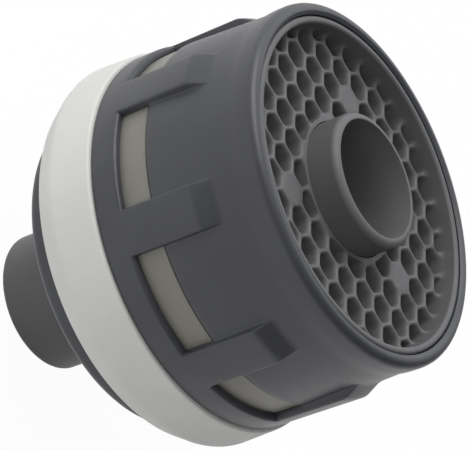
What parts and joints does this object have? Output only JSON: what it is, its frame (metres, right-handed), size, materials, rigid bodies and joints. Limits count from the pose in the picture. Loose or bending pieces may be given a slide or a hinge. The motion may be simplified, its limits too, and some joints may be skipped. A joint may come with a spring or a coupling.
{
  "type": "tap aerator insert",
  "caption": "Tap aerator insert: ribbed housing with air windows, honeycomb outlet, white seal and a central water tube with a rear spigot.",
  "frame": {"origin": "on the axis, at the end face of the rear spigot, which is the lowest point", "axes": "+Z along the axis from the inlet towards the outlet, -Y through the middle of one rib"},
  "size_m": [0.0222, 0.0222, 0.0227],
  "materials": {
    "dark_plastic": "satin dark grey moulding",
    "white_rubber": "matte white elastic ring",
    "beige_plastic": "satin beige moulding",
    "steel_mesh": "woven stainless screen"
  },
  "bodies": {
    "root": {"housing": "dark_plastic", "outlet_honeycomb": "dark_plastic", "water_tube": "dark_plastic", "inlet_strainer": "dark_plastic", "sealing_ring": "white_rubber", "jet_splitter": "beige_plastic", "rear_screen": "steel_mesh", "front_screen": "steel_mesh"}
  },
  "joints": []
}
